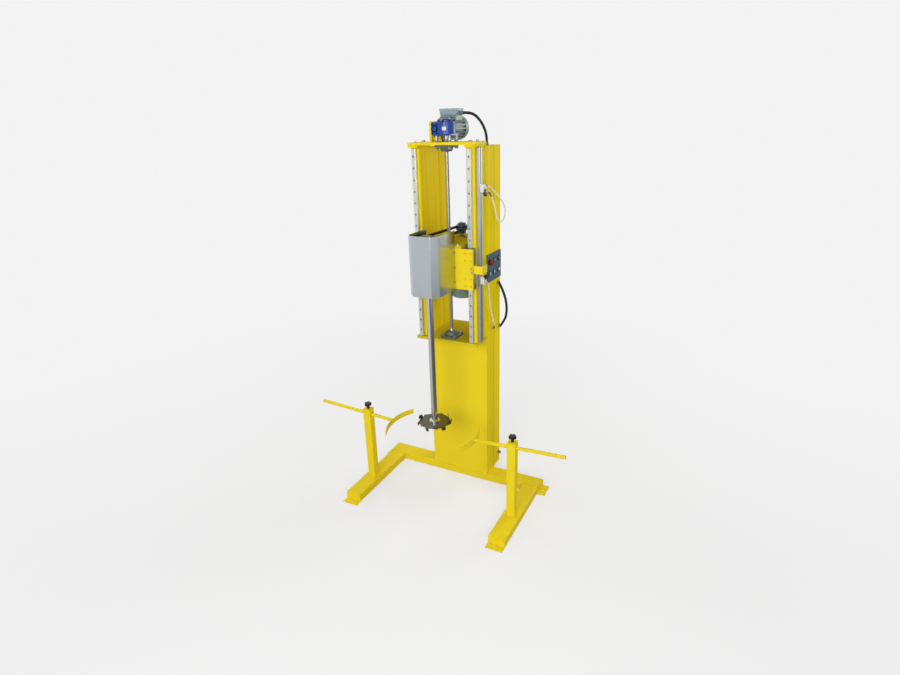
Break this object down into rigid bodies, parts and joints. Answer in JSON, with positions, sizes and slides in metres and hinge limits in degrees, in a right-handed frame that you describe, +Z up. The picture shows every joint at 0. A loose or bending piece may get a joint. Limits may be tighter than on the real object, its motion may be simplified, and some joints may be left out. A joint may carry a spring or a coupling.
{
  "type": "drum paint mixer",
  "caption": "High-speed mixer for paint in drums: a U-shaped floor frame, a column with a screw-lifted carriage, a belt-driven spindle with a toothed disc, and clamp arms.",
  "frame": {"origin": "on the floor, midway between the two front anchor holes", "axes": "+X to the operator's right, +Y to the back, towards the column, +Z up"},
  "size_m": [1.5892, 0.7861, 2.223],
  "materials": {
    "yellow_paint": "gloss",
    "machined_steel": "satin",
    "ground_steel": "polished",
    "chromed_steel": "polished",
    "stainless_sheet": "brushed",
    "cast_green_grey": "painted",
    "gearbox_blue": "gloss",
    "motor_grey_blue": "satin",
    "lift_motor_grey": "satin",
    "bronze": "satin",
    "anodised_aluminium": "satin",
    "box_grey": "satin",
    "panel_blue_grey": "satin",
    "black_plastic": "matte",
    "black_rubber": "matte",
    "cable_grey": "matte",
    "white_plastic": "satin",
    "green_plastic": "satin",
    "red_plastic": "satin",
    "pulley_blue_grey": "satin"
  },
  "bodies": {
    "frame": {"base_cross_beam": "yellow_paint", "left_leg": "yellow_paint", "right_leg": "yellow_paint", "anchor_angles": "yellow_paint", "left_column_tubes": "yellow_paint", "right_column_tubes": "yellow_paint", "column_plates": "yellow_paint", "column_shelf": "yellow_paint", "left_rail_bar": "yellow_paint", "right_rail_bar": "yellow_paint", "top_plate": "yellow_paint", "gearbox_standoffs": "machined_steel", "linear_rails": "ground_steel", "switch_profile": "anodised_aluminium", "screw_bearings": "cast_green_grey", "gearbox_housing": "gearbox_blue", "gearbox_bracket": "yellow_paint", "lift_motor_body": "lift_motor_grey", "lift_terminal_box": "box_grey", "cable_glands": "black_plastic", "lift_motor_conduit": "black_rubber", "panel_conduit": "black_rubber", "upper_switch_cable": "cable_grey", "lower_switch_cable": "cable_grey", "left_post": "yellow_paint", "right_post": "yellow_paint", "limit_switches": "white_plastic", "control_box": "panel_blue_grey", "control_bezels": "black_plastic"},
    "carriage": {"carriage_plate": "yellow_paint", "linear_blocks": "ground_steel", "motor_plate": "yellow_paint", "lift_nut": "bronze", "spindle_housing": "yellow_paint", "spindle_bearings": "machined_steel", "belt_guard": "stainless_sheet", "main_motor_body": "motor_grey_blue", "main_motor_box": "motor_grey_blue", "main_motor_cowl": "motor_grey_blue", "switch_dog": "yellow_paint", "drive_belt": "black_rubber"},
    "lift_screw": {"lift_screw": "chromed_steel", "worm_wheel": "bronze"},
    "worm": {"worm_shaft": "machined_steel"},
    "spindle": {"mixing_shaft": "chromed_steel", "spindle_pulley": "pulley_blue_grey", "mixing_disc": "machined_steel"},
    "motor_rotor": {"motor_shaft": "machined_steel", "motor_pulley": "pulley_blue_grey"},
    "left_clamp": {"left_clamp": "yellow_paint"},
    "right_clamp": {"right_clamp": "yellow_paint"},
    "left_knob": {"left_knob": "black_plastic"},
    "right_knob": {"right_knob": "black_plastic"},
    "upper_lever": {"upper_switch_lever": "black_plastic"},
    "lower_lever": {"lower_switch_lever": "black_plastic"},
    "start_button": {"start_button": "green_plastic"},
    "stop_button": {"stop_button": "red_plastic"},
    "raise_button": {"raise_button": "black_plastic"},
    "lower_button": {"lower_button": "black_plastic"},
    "emergency_stop": {"emergency_stop": "red_plastic"}
  },
  "joints": [
    {"name": "carriage_lift", "type": "slide", "parent": "frame", "child": "carriage", "axis": [0, 0, 1], "range_m": [-0.0115, 0.3555]},
    {"name": "screw_turn", "type": "hinge", "parent": "frame", "child": "lift_screw", "pos_m": [0, 0.4764, 1.5], "axis": [0, 0, 1], "range_deg": [-32015, 1055]},
    {"name": "worm_turn", "type": "hinge", "parent": "frame", "child": "worm", "pos_m": [-0.04, 0.4764, 2.126], "axis": [0, 1, 0], "range_deg": [-319970, 10370]},
    {"name": "spindle_turn", "type": "hinge", "parent": "carriage", "child": "spindle", "pos_m": [0, 0.2322, 1.45], "axis": [0, 0, 1], "continuous": true},
    {"name": "motor_turn", "type": "hinge", "parent": "carriage", "child": "motor_rotor", "pos_m": [0, 0.635, 1.4], "axis": [0, 0, 1], "continuous": true},
    {"name": "left_clamp_slide", "type": "slide", "parent": "frame", "child": "left_clamp", "axis": [0.9988, 0, -0.0489], "range_m": [-0.14, 0.2]},
    {"name": "right_clamp_slide", "type": "slide", "parent": "frame", "child": "right_clamp", "axis": [-0.9988, 0, -0.0489], "range_m": [-0.18, 0.154]},
    {"name": "left_knob_turn", "type": "hinge", "parent": "frame", "child": "left_knob", "pos_m": [-0.473, 0.243, 0.53], "axis": [0, 0, 1], "range_deg": [0, 1080]},
    {"name": "right_knob_turn", "type": "hinge", "parent": "frame", "child": "right_knob", "pos_m": [0.473, 0.243, 0.53], "axis": [0, 0, 1], "range_deg": [0, 1080]},
    {"name": "upper_lever_tilt", "type": "hinge", "parent": "frame", "child": "upper_lever", "pos_m": [0.222, 0.462, 1.823], "axis": [1, 0, 0], "range_deg": [-35, 0], "stiffness_Nm_per_rad": 0.1, "springref_deg": 17.19},
    {"name": "lower_lever_tilt", "type": "hinge", "parent": "frame", "child": "lower_lever", "pos_m": [0.222, 0.462, 1.358], "axis": [1, 0, 0], "range_deg": [0, 35], "stiffness_Nm_per_rad": 0.1, "springref_deg": -17.19},
    {"name": "start_button_press", "type": "slide", "parent": "frame", "child": "start_button", "axis": [-1, 0, 0], "range_m": [0, 0.003], "stiffness_N_per_m": 500, "springref_m": -0.003},
    {"name": "stop_button_press", "type": "slide", "parent": "frame", "child": "stop_button", "axis": [-1, 0, 0], "range_m": [0, 0.003], "stiffness_N_per_m": 500, "springref_m": -0.003},
    {"name": "raise_button_press", "type": "slide", "parent": "frame", "child": "raise_button", "axis": [-1, 0, 0], "range_m": [0, 0.003], "stiffness_N_per_m": 500, "springref_m": -0.003},
    {"name": "lower_button_press", "type": "slide", "parent": "frame", "child": "lower_button", "axis": [-1, 0, 0], "range_m": [0, 0.003], "stiffness_N_per_m": 500, "springref_m": -0.003},
    {"name": "emergency_stop_press", "type": "slide", "parent": "frame", "child": "emergency_stop", "axis": [-1, 0, 0], "range_m": [0, 0.003]}
  ],
  "couplings": [
    {"joint": "screw_turn", "follows": "carriage_lift", "rad_per_m": -1570.8},
    {"joint": "worm_turn", "follows": "carriage_lift", "rad_per_m": -15708},
    {"joint": "motor_turn", "follows": "spindle_turn", "ratio": 1.8788}
  ]
}
